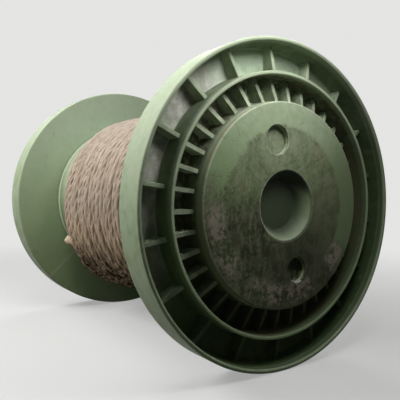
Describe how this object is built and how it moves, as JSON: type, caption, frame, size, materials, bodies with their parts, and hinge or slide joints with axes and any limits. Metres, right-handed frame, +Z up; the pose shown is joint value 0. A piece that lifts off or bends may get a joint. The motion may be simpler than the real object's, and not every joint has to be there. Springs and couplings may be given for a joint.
{
  "type": "cord spool",
  "caption": "Moulded plastic spool with deep ribbed flanges and conical hub sockets, holding one layer of twisted jute cord on its wide barrel.",
  "frame": {"origin": "on the floor under the middle of the spool, which lies on its two rims", "axes": "+X along the spool's axis to the ribbed face that the picture shows, +Z up"},
  "size_m": [0.1926, 0.16, 0.16],
  "materials": {
    "green_plastic": "satin moulded plastic, scuffed and dusty",
    "jute_cord": "dry twisted jute fibre"
  },
  "bodies": {
    "root": {"spool": "green_plastic", "cord": "jute_cord"}
  },
  "joints": []
}
